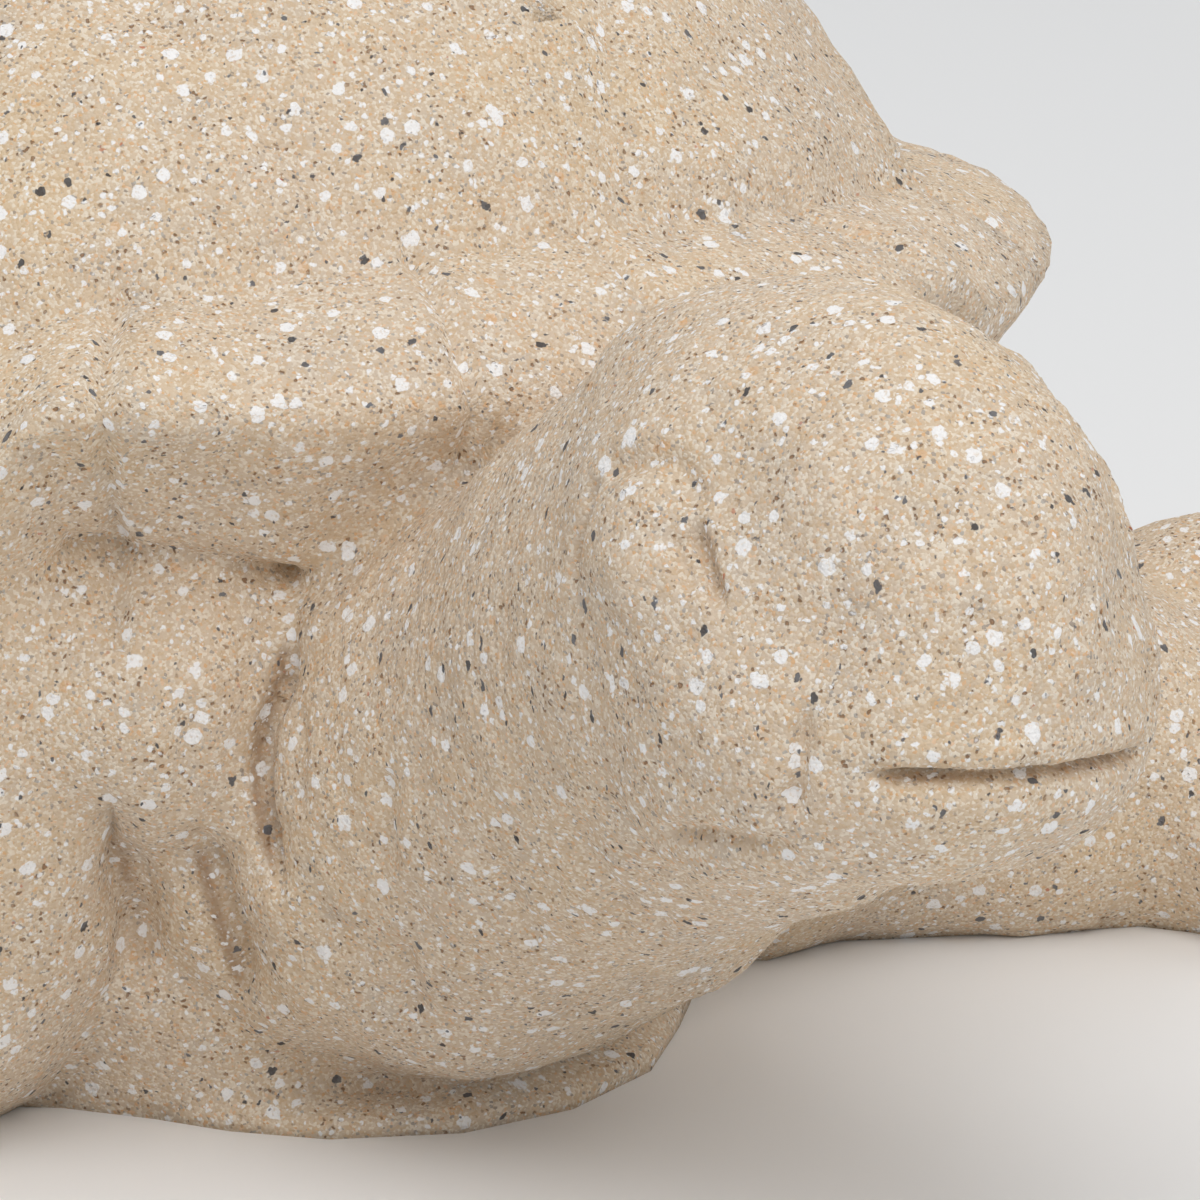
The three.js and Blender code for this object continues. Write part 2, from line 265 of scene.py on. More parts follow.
def neckSwell(along):
    # rolls of skin round the neck's base: rounded ridges between narrower folds
    start = ramp(neck["rollsFrom"] - neck["rollsFade"], neck["rollsFrom"], along)
    stop = 1 - ramp(neck["rollsTo"], neck["rollsTo"] + neck["rollsFade"], along)
    phase = (along - neck["rollsFrom"]) * math.pi / neck["rollLength"]
    return neck["rollDepth"] * start * stop * (np.abs(np.sin(phase)) - 0.5)


def sweptRings(limb, side, swell=None):
    # superellipse sections carried along the path through the stations, closed by domed ends
    cap = np.sin(np.linspace(endStart, 1, endRows) * math.pi / 2)
    closing = np.concatenate([cap, np.ones(limb["along"]), cap[::-1]])
    reach = np.sqrt(1 - closing ** 2)
    reach[:endRows] *= -1
    shares = np.concatenate(
        [np.zeros(endRows), np.linspace(0, 1, limb["along"]), np.ones(endRows)])
    rows = smoothPath(limb["stations"], shares)
    shift = smoothPath(limb["stations"], np.minimum(shares + pathStep, 1))
    shift = shift - smoothPath(limb["stations"], np.maximum(shares - pathStep, 0))
    ahead = shift[:, :3] * (side, 1, 1)
    ahead /= np.linalg.norm(ahead, axis=1, keepdims=True)
    centre = rows[:, :3] * (side, 1, 1)
    half = rows[:, 3:5] + (swell(rows[:, 1])[:, None] if swell else 0)
    across = np.cross(ahead, (0, 0, 1))
    across /= np.linalg.norm(across, axis=1, keepdims=True)
    upward = np.cross(across, ahead)
    turn = np.linspace(0, 2 * math.pi, limb["around"], endpoint=False)
    wide = (half[:, 0] * closing)[:, None] * squared(np.cos(turn), limb["squareness"])
    tall = (half[:, 1] * closing)[:, None] * squared(np.sin(turn), limb["squareness"])
    middle = centre + ahead * (reach * half[:, 1] * endReach)[:, None]
    return (middle[:, None] + across[:, None] * wide[..., None] + upward[:, None] * tall[..., None])


headAhead = np.array([0, -math.cos(head["pitch"]), math.sin(head["pitch"])])
headUp = np.array([0, math.sin(head["pitch"]), math.cos(head["pitch"])])
headLeft = np.array([1.0, 0, 0])


def headRings():
    # a superellipse in plan and in profile, each swelling added to its radius as a height times
    # e to the minus squared distance over squared spread; its crown is set back and drawn in
    gap = head["poleGap"]
    polar = np.linspace(gap, math.pi - gap, head["rows"])[:, None]
    turn = np.linspace(-math.pi, math.pi, head["around"], endpoint=False)[None, :]
    length = np.where(np.cos(turn) > 0, head["front"], head["back"])
    level = ovalRadius(np.cos(turn), np.sin(turn), length, head["side"], head["planSquareness"])
    crown = ovalRadius(np.sin(polar), np.cos(polar), level, head["up"], head["crownSquareness"])
    jaw = ovalRadius(np.sin(polar), np.cos(polar), level, head["down"], head["jawSquareness"])
    reach = np.where(np.cos(polar) > 0, crown, jaw)
    ahead = reach * np.sin(polar) * np.cos(turn)
    aside = np.abs(reach * np.sin(polar) * np.sin(turn))
    above = reach * np.cos(polar)
    for forward, left, up, spread, height in headForms:
        away = (ahead - forward) ** 2 + (aside - left) ** 2 + (above - up) ** 2
        reach = reach + height * np.exp(-away / spread ** 2)
    flat = reach * np.sin(polar)
    above = reach * np.cos(polar)
    raised = np.maximum(above, 0)
    ahead = flat * np.cos(turn) - head["crownSetBack"] * raised
    aside = flat * np.sin(turn) * (1 - head["crownTaper"] * raised / head["up"])
    return (np.array(head["centre"]) + ahead[..., None] * headAhead
            + aside[..., None] * headLeft + above[..., None] * headUp)


def joinSkins(rings):
    # all closed skins in one mesh, cut flat by lifting what lies below the ground up to it
    vertices, quads, fans, count = [], [], [], 0
    for ring in rings:
        points, fours, threes = closedSkin(ring)
        vertices.append(np.column_stack([points[:, :2], np.maximum(points[:, 2], 0)]))
        quads.append(fours + count)
        fans.append(threes + count)
        count += len(points)
    return np.vstack(vertices), np.vstack(quads), np.vstack(fans)


def meshFrom(name, points, faces):
    # points in metres and a list of face arrays into a mesh
    mesh = bpy.data.meshes.new(name)
    corners = np.concatenate([part.reshape(-1) for part in faces])
    sizes = np.concatenate([np.full(len(part), part.shape[1]) for part in faces])
    starts = np.concatenate([[0], np.cumsum(sizes)[:-1]])
    mesh.vertices.add(len(points))
    mesh.vertices.foreach_set("co", np.ascontiguousarray(points, np.float32).ravel())
    mesh.loops.add(len(corners))
    mesh.loops.foreach_set("vertex_index", corners.astype(np.int32))
    mesh.polygons.add(len(sizes))
    mesh.polygons.foreach_set("loop_start", starts.astype(np.int32))
    mesh.update(calc_edges=True)
    mesh.validate()
    return mesh


def pieceFrom(name, mesh):
    # an object that shows the mesh, in the scene
    piece = bpy.data.objects.new(name, mesh)
    bpy.context.scene.collection.objects.link(piece)
    return piece


def finished(piece):
    # the piece's mesh with its modifiers applied, as a new mesh
    bpy.context.view_layer.update()
    graph = bpy.context.evaluated_depsgraph_get()
    return bpy.data.meshes.new_from_object(piece.evaluated_get(graph))


def pointsOf(mesh):
    # a mesh's points, one row each
    flat = np.empty(len(mesh.vertices) * 3, np.float32)
    mesh.vertices.foreach_get("co", flat)
    return flat.reshape(-1, 3).astype(float)


def normalsOf(mesh):
    # the outward direction at each point
    flat = np.empty(len(mesh.vertices) * 3, np.float32)
    mesh.vertex_normals.foreach_get("vector", flat)
    return flat.reshape(-1, 3).astype(float)


def placePoints(mesh, points):
    # moves a mesh's points
    mesh.vertices.foreach_set("co", points.astype(np.float32).ravel())
    mesh.update()


def paint(mesh, name, values):
    # one number at each point, for the material to read
    layer = mesh.attributes.new(name, "FLOAT", "POINT")
    layer.data.foreach_set("value", values.astype(np.float32))


def bump(distance, width):
    # e to the minus squared distance over width, 1 in the middle and soft at the edge
    return np.exp(-(distance / width) ** 2)


def relaxed(points, edges, share, rounds):
    # each round moves a point its share of the way to the mean of its neighbours
    count = len(points)
    here = np.concatenate([edges[:, 0], edges[:, 1]])
    there = np.concatenate([edges[:, 1], edges[:, 0]])
    degree = np.maximum(np.bincount(here, minlength=count), 1)[:, None]
    for _ in range(rounds):
        sums = np.stack([np.bincount(here, points[there, k], count) for k in range(3)], axis=1)
        points = points + share[:, None] * (sums / degree - points)
    return points


def lumps(points, wavelength, seed):
    # a sum of sine waves in random directions and phases, of unit size on average
    random = np.random.default_rng(seed)
    total = np.zeros(len(points))
    for _ in range(cast["waves"]):
        way = random.normal(size=3)
        length = wavelength * random.uniform(*cast["waveSpread"]) * np.linalg.norm(way)
        total += np.sin(points @ (way * 2 * math.pi / length) + random.uniform(0, 2 * math.pi))
    return total / math.sqrt(cast["waves"] / 2)


def lineDistance(points, line):
    # distance of every point to a line of straight stretches, and the share of the way along it
    line = np.array(line, float)
    lengths = np.linalg.norm(np.diff(line, axis=0), axis=1)
    before = np.concatenate([[0], np.cumsum(lengths)])
    best = np.full(len(points), np.inf)
    share = np.zeros(len(points))
    for k, length in enumerate(lengths):
        way = (line[k + 1] - line[k]) / length
        along = np.clip((points - line[k]) @ way, 0, length)
        away = np.linalg.norm(points - line[k] - along[:, None] * way, axis=1)
        nearer = away < best
        best = np.where(nearer, away, best)
        share = np.where(nearer, (before[k] + along) / before[-1], share)
    return best, share


def groove(points, line, width, depth, facing):
    # a furrow along a smooth line: minus depth times the bump of the distance, fading out at each
    # end; the distance is measured square to the way it faces, so that it stays on the skin
    line = smoothPath(line, np.linspace(0, 1, grooveSteps))
    low = line.min(axis=0) - grooveMargin
    high = line.max(axis=0) + grooveMargin
    near = np.all((points > low) & (points < high), axis=1)
    flat = points[near] - (points[near] @ facing)[:, None] * facing
    dug = np.zeros(len(points))
    away, share = lineDistance(flat, line - (line @ facing)[:, None] * facing)
    fade = ramp(0, grooveTaper, share) * ramp(0, grooveTaper, 1 - share)
    dug[near] = -depth * fade * bump(away, width)
    return dug


# How masses grow into each other: centre and spread of each place that is smoothed further.
meetings = {
    "neckBack": -88, "neckSpread": 20, "neckTop": 92, "neckShare": 0.7,
    "nape": (-140, 78), "napeRadius": 4, "napeSpread": 14,
    "crest": (-146, 108), "crestSpread": 10,
    "legOut": 66, "legSpread": 22, "legTop": 78,
    "elbow": (120, -46), "elbowSpread": (15, 24),
    "tailBack": 90, "tailSpread": (22, 14), "tailTop": 70,
}
grooveSteps = 24             # stretches of a smoothed line
grooveTaper = 0.25           # share of its length over which it fades at each end
grooveMargin = 16            # how far round a line its groove can reach

# Folds and creases of the right side, in millimetres, as points on the skin, width and depth.
foldFacing = (math.radians(-31), math.radians(17))
leftShare = 0.85             # depth of the left side's folds against the right side's
folds = [
    ([(-31, -87, 72), (-33, -86, 63), (-35, -84, 52), (-35, -86, 43), (-34, -89, 35)], 0.75, 3.4),
    ([(-31, -87, 72), (-33, -86, 63), (-35, -84, 52), (-35, -86, 43), (-34, -89, 35)], 3.6, 1.5),
    ([(-37, -73, 43), (-36, -75, 33), (-34, -76, 26), (-31, -75, 16)], 3.4, 2.4),
    ([(-38, -73, 42), (-36.5, -75, 33), (-35, -76, 26), (-32, -75, 18)], 0.8, 2.2),
    ([(-51, -73, 51), (-45, -68, 38), (-42, -65, 28), (-41, -65, 17)], 2.8, 2.2),
    ([(-48, -71, 45), (-45, -68, 38), (-43, -66, 31)], 0.8, 1.6),
    ([(-29, -85, 60), (-29, -84, 52), (-30, -85, 44)], 1.4, 0.9),
    ([(-40, -80, 62), (-41, -79, 53), (-42, -77, 44)], 1.8, 1.0),
    ([(-32, -109, 59), (-32, -110, 52), (-31, -108, 44)], 1.3, 1.4),
    ([(-28, -105, 35), (-26, -104, 29), (-22, -100, 22)], 1.4, 1.3),
    ([(-28, -158, 65), (-27, -168, 66), (-24, -178, 67), (-21, -183, 68)], 1.3, 0.9),
    ([(-21, -148, 56), (-18, -149, 55), (-15, -150, 53)], 1.2, 0.8),
    ([(-20, -139, 50), (-16, -140, 47), (-9, -137, 42)], 1.4, 1.0),
    ([(-27, -125, 51), (-24, -125, 45), (-20, -124, 38)], 1.4, 1.1),
    ([(-27, -140, 60), (-21, -139, 52), (-11, -132, 40)], 1.5, 1.0),
]
# Creases of the face in the head's own axes: forward and up on its side, width and depth.
faceCreases = [
    ([(-3.5, 14.8), (-5.2, 13), (-5.8, 10), (-8.6, 6), (-9.5, 2)], 0.9, 2.8),
    ([(7.4, 9.4), (8.2, 7.9), (9.5, 5.3), (10.7, 2.7), (11.6, 0.6)], 0.75, 1.7),
    ([(8.8, 10.4), (9.8, 8.6), (11.6, 4.6), (13.4, 0.8), (14.4, -1.4)], 0.8, 2.9),
    ([(-5, 13.3), (-2.2, 15.3), (5.2, 15.6), (9, 11.8), (10.4, 8)], 1.4, 1.5),
    ([(-6, 2), (1, -1.5), (8, -2.5)], 2.0, 0.6),
    ([(5, 19), (14, 10.6), (18.8, 2.9), (21.5, -5), (25, -10), (28, -12.7)], 4.5, 1.0),
    ([(22, -10), (20.8, -14.2), (19.4, -19.3), (16, -25.5)], 0.85, 1.8),
    ([(19.3, -19.5), (16.5, -22), (14, -24.6)], 0.85, 1.2),
    ([(-3, -24.5), (4.3, -25.4), (11.5, -26.6), (15.4, -27.2)], 1.3, 1.0),
]
face = {
    "backTo": -16, "heights": 40, "flank": 12, "creaseSteps": 20, "creaseTaper": 0.3,
}
mouth = {
    "height": -22.3, "cornerRise": 0.9, "cornerOut": 17, "tilt": -0.09, "reach": 17.6,
    "depth": 3.4, "above": 0.5, "below": 0.95, "upperLip": 0.6, "lowerLip": 0.6,
    "upperPlace": 2.6, "upperWidth": 1.8, "lowerPlace": -4, "lowerWidth": 2.2,
    "endOut": 2, "endIn": 3, "back": 8,
}
nostril = {"out": 7, "height": -5, "width": 1.3, "depth": 0.8, "back": 20}
seams = {
    "angles": [8, 32, 53.5, 75, 96.5, 118, 139.5, 161, 180], "width": 1.2, "depth": 1.7,
    "domeDepth": 0.8, "domeWidth": 2.2, "crown": 1.1, "crownRun": 14,
    "rimAbove": 68, "domeAbove": 96, "fadeOut": 3, "fadeIn": 1, "beyond": 4,
}
# Scutes in plan: corners of the middle row, its outward peaks, and how the side seams spread.
scutes = {
    "levels": [-80, -52, -20, 14, 46, 78], "outs": [20, 33, 27, 33, 27, 20],
    "peakOut": 38, "peakIn": 6, "sideOut": 110, "sideSpread": 1.3,
}
frontToes = {
    "out": 106, "middle": 128, "gap": 7.5, "lean": 0, "depth": 1.5, "width": 1.4,
    "from": -72, "to": -82, "root": -68,
}
hindToes = {
    "out": 80, "middle": 101, "gap": 7, "lean": 0.25, "depth": 1.4, "width": 1.4,
    "from": 96, "to": 104, "root": 88, "footEnd": 100,
}
# Fine upright streaks behind the cheek, and how deep a groove has to be before painted shade darkens
# it.
streaks = {"back": (-58, -46), "front": (-17, -26), "height": (-24, -6), "out": (15, 24)}
darkening = {"from": 1.5, "over": 2.5, "shellShare": 0.6}


def headPlace(points):
    # forward, left and up from the head's centre
    away = points - np.array(head["centre"])
    return away @ headAhead, away @ headLeft, away @ headUp


def faceRelief(points):
    # creases on both flanks as furrows, the mouth as a furrow between two lips that runs at a height
    # rising with the square of the distance from the middle, and two nostrils
    ahead, left, above = headPlace(points)
    side = np.abs(left)
    rise = np.zeros(len(points))
    flank = (ahead > face["backTo"]) & (np.abs(above) < face["heights"]) & (side > face["flank"])
    flat = np.column_stack([ahead[flank], above[flank]])
    taper = face["creaseTaper"]
    for line, width, depth in faceCreases:
        away, share = lineDistance(flat, smoothPath(line, np.linspace(0, 1, face["creaseSteps"])))
        fade = ramp(0, taper, share) * ramp(0, taper, 1 - share)
        rise[flank] -= depth * fade * bump(away, width)
    line = mouth["height"] + mouth["cornerRise"] * (left / mouth["cornerOut"]) ** 2
    off = above - line - mouth["tilt"] * left
    wide = ramp(mouth["reach"] + mouth["endOut"], mouth["reach"] - mouth["endIn"], side)
    wide *= ahead > mouth["back"]
    spread = np.where(off > 0, mouth["above"], mouth["below"])
    rise -= mouth["depth"] * wide * bump(off, spread)
    rise += mouth["upperLip"] * wide * bump(off - mouth["upperPlace"], mouth["upperWidth"])
    rise += mouth["lowerLip"] * wide * bump(off - mouth["lowerPlace"], mouth["lowerWidth"])
    hole = np.hypot(side - nostril["out"], above - nostril["height"])
    rise -= nostril["depth"] * (ahead > nostril["back"]) * bump(hole, nostril["width"])
    return rise


def scuteLines():
    # seams of the dome in plan: a zigzag each side of the middle row, cross seams and side seams
    corners = list(zip(scutes["outs"], scutes["levels"]))
    lines = [[corners[k], corners[k + 1]] for k in range(len(corners) - 1)]
    lines += [[(-out, level), (out, level)] for out, level in corners[1:-1]]
    for first, second in zip(scutes["levels"][1:-2], scutes["levels"][2:-1]):
        level = (first + second) / 2
        start = (scutes["peakOut"] - scutes["peakIn"], level)
        lines.append([start, (scutes["sideOut"], level * scutes["sideSpread"])])
    return lines + [[(-x, y) for x, y in line] for line in lines]


def shellPlace(points):
    # angle from the front, distance from the shell's axis, and distance of its outer edge there
    x, y, z = points.T
    back = shell["topSetBack"] * z / shell["topHeight"]
    angle = np.arctan2(x, back - y)
    edge = ovalRadius(
        np.sin(angle), np.cos(angle), shell["halfWidth"], shell["halfLength"], shell["squareness"])
    return angle, np.hypot(x, y - back), edge


def rimEdge(points):
    # 1 along the outer edge of the shell, 0 further in
    _, out, edge = shellPlace(points)
    low, high = shell["edgeHeights"]
    start, full = shell["edgeRun"]
    return ramp(edge - start, edge - full, out) * (points[:, 2] > low) * (points[:, 2] < high)


def shellRelief(points):
    # seams across the rim at their angles, and scutes that rise with the distance from their seams
    angle, out, edge = shellPlace(points)
    z = points[:, 2]
    foot = edge - shell["rimWidth"]
    onRim = ramp(foot - seams["fadeOut"], foot + seams["fadeIn"], out) * (z > seams["rimAbove"])
    onRim *= out < edge + seams["beyond"]
    rise = np.zeros(len(points))
    for degrees in seams["angles"]:
        across = out * (np.abs(angle) - math.radians(degrees))
        rise -= seams["depth"] * onRim * bump(across, seams["width"])
    onDome = ramp(foot + seams["fadeIn"], foot - seams["fadeOut"], out) * (z > seams["domeAbove"])
    dome = onDome > 0
    back = shell["topSetBack"] * z / shell["topHeight"]
    flat = np.column_stack([points[dome, 0], points[dome, 1] - back[dome]])
    nearest = np.min([lineDistance(flat, line)[0] for line in scuteLines()], axis=0)
    rise[dome] -= seams["domeDepth"] * onDome[dome] * bump(nearest, seams["domeWidth"])
    rise[dome] += seams["crown"] * onDome[dome] * ramp(0, seams["crownRun"], nearest)
    return rise


def toeRelief(points):
    # three shallow furrows across the end of each foot, a gap apart and leaning outwards
    side = np.abs(points[:, 0])
    y = points[:, 1]
    rise = np.zeros(len(points))
    for toes in (frontToes, hindToes):
        beyond = (y - toes["root"]) * (toes["to"] - toes["from"]) > 0
        onFoot = (side > toes["out"]) * beyond * ramp(toes["from"], toes["to"], y)
        for k in (-1, 0, 1):
            middle = toes["middle"] + k * toes["gap"] + toes["lean"] * (y - hindToes["footEnd"])
            rise -= toes["depth"] * onFoot * bump(side - middle, toes["width"])
    return rise


def foldRelief(points):
    # the right side's folds, and the same folds a little shallower on the left side
    facing = np.array(direction(*foldFacing))
    mirrored = points * (-1, 1, 1)
    rise = np.zeros(len(points))
    for line, width, depth in folds:
        rise += groove(points, line, width, depth, facing)
        rise += groove(mirrored, line, width, leftShare * depth, facing)
    return rise


def meeting(points):
    # how much a place needs blending, 0 to 1: the greatest of soft bumps round the places where the
    # neck, legs and tail grow out of the body and the head out of the neck
    x, y, z = points.T
    side = np.abs(x)
    m = meetings
    neckBase = m["neckShare"] * bump(y - m["neckBack"], m["neckSpread"]) * (z < m["neckTop"])
    napeOut = np.hypot(y - m["nape"][0], z - m["nape"][1])
    nape = bump(napeOut - m["napeRadius"], m["napeSpread"])
    crest = bump(np.hypot(y - m["crest"][0], z - m["crest"][1]), m["crestSpread"])
    legRoots = bump(side - m["legOut"], m["legSpread"]) * (z < m["legTop"])
    elbows = bump(side - m["elbow"][0], m["elbowSpread"][0])
    elbows = elbows * bump(y - m["elbow"][1], m["elbowSpread"][1])
    tailRoot = bump(x, m["tailSpread"][0]) * bump(y - m["tailBack"], m["tailSpread"][1])
    tailRoot = tailRoot * (z < m["tailTop"])
    return np.clip(np.maximum.reduce([neckBase, nape, crest, legRoots, elbows, tailRoot]), 0, 1)


def joinedSkin():
    # all masses in one mesh, remade as a single closed skin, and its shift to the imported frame
    masses = [shellRings(), massRings(trunk, 1), massRings(chest, 1), plastronRings()]
    masses += [sweptRings(neck, 1, neckSwell), headRings(), sweptRings(tail, 1)]
    for side in (1, -1):
        masses += [massRings(shoulder, side), massRings(collar, side)]
        masses += [sweptRings(limb, side) for limb in (frontLeg, upperArm, hindLeg)]
    points, quads, fans = joinSkins(masses)
    middle = (points.min(axis=0) + points.max(axis=0)) / 2
    cadMiddle = np.mean(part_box("turtle"), axis=0) / millimetre
    rough = pieceFrom("roughTurtle", meshFrom("roughTurtle", points, [quads, fans]))
    remesh = rough.modifiers.new("voxels", "REMESH")
    remesh.mode = "VOXEL"
    remesh.voxel_size = cast["voxel"]
    skin = finished(rough)
    bpy.data.objects.remove(rough)
    print("joined skin:", len(skin.vertices), "vertices")
    return skin, np.array([0, cadMiddle[1] - middle[1], 0])


def grounded(points, sole):
    # nothing below the ground, and the sole flat on it
    points[sole, 2] = 0
    points[:, 2] = np.maximum(points[:, 2], 0)
    return points


def blended(skin):
    # the skin smoothed a little all over, less along the rim, and more where masses meet
    points = pointsOf(skin)
    edges = np.empty(len(skin.edges) * 2, np.int32)
    skin.edges.foreach_get("vertices", edges)
    edges = edges.reshape(-1, 2)
    sole = points[:, 2] < soleVoxels * cast["voxel"]
    allOver = cast["step"] * (1 - shell["crisp"] * rimEdge(points))
    points = relaxed(points, edges, allOver, cast["settle"])
    points = relaxed(points, edges, cast["step"] * meeting(points), cast["blend"])
    points = grounded(points, sole)
    placePoints(skin, points)
    print("blended")
    return points, sole


def thinned(piece, points):
    # the piece's mesh with fewer triangles outside the head and neck
    x, y, z = points.T
    near = (y < fine["ahead"]) & (np.abs(x) < fine["out"]) & (z > fine["above"])
    near &= (z < fine["below"]) | (y < fine["headAhead"])
    coarse = piece.vertex_groups.new(name="coarse")
    coarse.add(np.flatnonzero(~near).tolist(), 1, "REPLACE")
    thin = piece.modifiers.new("thin", "DECIMATE")
    thin.ratio = cast["triangles"] / (2 * len(piece.data.polygons))
    thin.vertex_group = "coarse"
    thin.use_collapse_triangulate = True
    mesh = finished(piece)
    piece.modifiers.clear()
    piece.vertex_groups.clear()
    return mesh


def carveTurtle():
    # the blended skin moved along its normals by the relief, thinned, painted and grained
    skin, offset = joinedSkin()
    points, sole = blended(skin)
    rise = faceRelief(points) + foldRelief(points) + shellRelief(points) + toeRelief(points)
    for wavelength, height in cast["lumps"]:
        rise += height * lumps(points, wavelength, cast["seed"])
    points = grounded(points + rise[:, None] * normalsOf(skin), sole)
    placePoints(skin, points)

    piece = pieceFrom("sandTurtle", skin)
    mesh = thinned(piece, points)
    piece.data = mesh
    bpy.data.meshes.remove(skin)
    points = pointsOf(mesh)
    # painted shade: the deeper the skin is carved into folds, creases and seams, the darker its colour
    # there
    carved = faceRelief(points) + foldRelief(points) + darkening["shellShare"] * shellRelief(points)
    paint(mesh, "creaseShade", np.clip(-(carved + darkening["from"]) / darkening["over"], 0, 1))
    ahead, left, above = headPlace(points)
    streaked = ramp(*streaks["back"], ahead) * ramp(*streaks["front"], ahead)
    streaked *= ramp(*streaks["height"], above) * ramp(*streaks["out"], np.abs(left))
    paint(mesh, "streaks", streaked)
    sole = points[:, 2] < cast["soleHeight"]
    grain = np.random.default_rng(cast["seed"]).normal(size=len(points)) * cast["grainRise"]
    points = grounded(points + grain[:, None] * normalsOf(mesh), sole)
    placePoints(mesh, (points + offset) * millimetre)
    mesh.polygons.foreach_set("use_smooth", np.ones(len(mesh.polygons), bool))
    print("carved:", len(mesh.polygons), "triangles")
    return piece, offset


class Wire:
    # a socket of a node tree; arithmetic on wires adds Math nodes
    def __init__(self, tree, socket=None):
        self.tree = tree
        self.socket = socket

    def node(self, kind, settings=None, sockets=None, output=0):
        # adds a node with its settings and socket values; gives back one output, or several by name
        made = self.tree.nodes.new(kind)
        for name, value in (settings or {}).items():
            setattr(made, name, value)
        for name, value in (sockets or {}).items():
            if isinstance(value, Wire):
                self.tree.links.new(value.socket, made.inputs[name])
            else:
                made.inputs[name].default_value = value
        if output is None:
            return None
        if isinstance(output, tuple):
            return tuple(Wire(self.tree, made.outputs[name]) for name in output)
        return Wire(self.tree, made.outputs[output])

    def math(self, operation, first, second=0.0, clamp=False):
        # one Math node on wires or numbers
        settings = {"operation": operation, "use_clamp": clamp}
        return self.node("ShaderNodeMath", settings, {0: first, 1: second})

    def __add__(self, other):
        return self.math("ADD", self, other)

    def __radd__(self, other):
        return self.math("ADD", other, self)

    def __sub__(self, other):
        return self.math("SUBTRACT", self, other)

    def __rsub__(self, other):
        return self.math("SUBTRACT", other, self)

    def __mul__(self, other):
        return self.math("MULTIPLY", self, other)

    def __rmul__(self, other):
        return self.math("MULTIPLY", other, self)

    def __lt__(self, other):
        return self.math("LESS_THAN", self, other)

    def held(self):
        # the value kept between 0 and 1
        return self.math("ADD", self, 0.0, clamp=True)


def shade(red, green, blue):
    # a colour given as 0..255 display values, made linear
    linear = [((v / 255 + 0.055) / 1.055) ** 2.4 for v in (red, green, blue)]
    return (*linear, 1.0)


sand = {
    "base": shade(213, 193, 170), "warm": shade(219, 195, 163), "grey": shade(200, 186, 170),
    "cream": shade(238, 228, 212), "tan": shade(205, 176, 140), "orange": shade(222, 168, 112),
    "rust": shade(190, 104, 72), "pale": shade(246, 245, 245), "dark": shade(52, 54, 60),
    # the pit brown is painted shade, for the pits between grains and for carved grooves
    "slate": shade(118, 121, 127), "shadedPit": shade(140, 104, 72),
    # the furrow share is how strongly painted shade darkens the carved grooves
    "grain": 0.36, "creaseShadeShare": 0.6, "roughness": 0.93, "specular": 0.25,
    "warmPatch": 38, "greyPatch": 7, "wobble": 0.0011, "sliver": (1.0, 1.5, 0.75),
    "grainRise": 0.10, "chipRise": 0.04, "pitDepth": 0.16, "cloudSize": 1.6, "cloudRise": 0.35,
    "streakWidth": 1.5, "streakRise": 0.06, "streakWave": 7, "streakSway": 9,
}
# Chips: cell size, smallest and largest radius in millimetres, share of cells filled, own shift.
chipKinds = {
    "ochre": (2.9, 0.3, 0.8, 0.32, 0.17), "rust": (2.3, 0.15, 0.34, 0.30, 0.11),
    "specks": (0.62, 0.07, 0.20, 0.5, 0.23), "smallWhite": (1.2, 0.10, 0.46, 0.86, 0.31),
    "bigWhite": (3.0, 0.3, 1.1, 0.62, 0.53), "smallDark": (1.8, 0.13, 0.36, 0.6, 0.71),
    "bigDark": (4.2, 0.3, 0.75, 0.66, 0.91),
}
# Pits: small dents in the bump, coloured with painted shade.
pits = {"size": 0.95, "shift": 0.37, "reach": 0.30, "edge": 9, "share": 0.34, "patchFrom": 0.36,
        "patchGain": 5}


def mixed(first, second, factor):
    # the first colour where the factor is 0, the second where it is 1
    sockets = {0: factor, 6: first, 7: second}
    return factor.node("ShaderNodeMix", {"data_type": "RGBA"}, sockets, 2)


def vectors(wire, operation, *values):
    # one vector operation on the values given
    output = "Value" if operation == "DOT_PRODUCT" else 0
    return wire.node(
        "ShaderNodeVectorMath", {"operation": operation}, dict(enumerate(values)), output)


def parts(colour):
    # the three numbers of a random colour
    return colour.node(
        "ShaderNodeSeparateColor", {}, {"Color": colour}, ("Red", "Green", "Blue"))


def cells(wire, place, size, shift=0.0):
    # cells of a given size in millimetres: distance to the nearest centre, and its random colour
    moved = vectors(wire, "ADD", place, (shift,) * 3)
    sockets = {"Vector": moved, "Scale": 1 / (size * millimetre)}
    return wire.node("ShaderNodeTexVoronoi", {}, sockets, ("Distance", "Color"))


def chips(wire, place, kind):
    # a share of the cells holds a chip: 1 where its radius, random between the smallest and the
    # largest, is greater than the distance to the cell's centre; and a random shade for each chip
    size, smallest, largest, share, shift = chipKinds[kind]
    away, colour = cells(wire, place, size, shift)
    first, second, third = parts(colour)
    radius = second * ((largest - smallest) / size) + smallest / size
    cover = ((radius - away) * (size * 9)).held()
    return cover * (first < share), third


